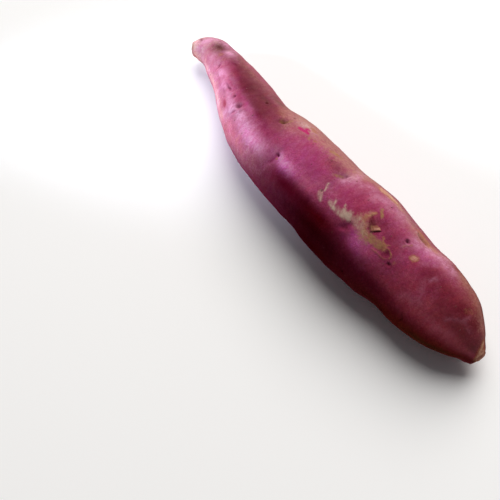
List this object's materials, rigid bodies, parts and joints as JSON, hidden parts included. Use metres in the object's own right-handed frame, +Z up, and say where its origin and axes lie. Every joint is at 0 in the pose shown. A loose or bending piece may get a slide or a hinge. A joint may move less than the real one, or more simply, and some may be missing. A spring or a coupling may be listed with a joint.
{
  "type": "purple sweet potato",
  "caption": "Whole purple-skinned sweet potato: a long, slightly bent storage root with a slim hooked stem end and a blunt, knobbed tail end, lying on its side.",
  "frame": {"origin": "centre of the box on the surface that the root lies on", "axes": "+X along the root towards its blunt tail end, +Z up from the surface, +Y towards the side that the hooked stem end bends away from"},
  "size_m": [0.2272, 0.0474, 0.0438],
  "materials": {
    "skin": "thin red-purple root skin with a low satin sheen, freckled with small eyes, fine cross wrinkles and tan scurf"
  },
  "bodies": {
    "root": {"sweet_potato": "skin"}
  },
  "joints": []
}
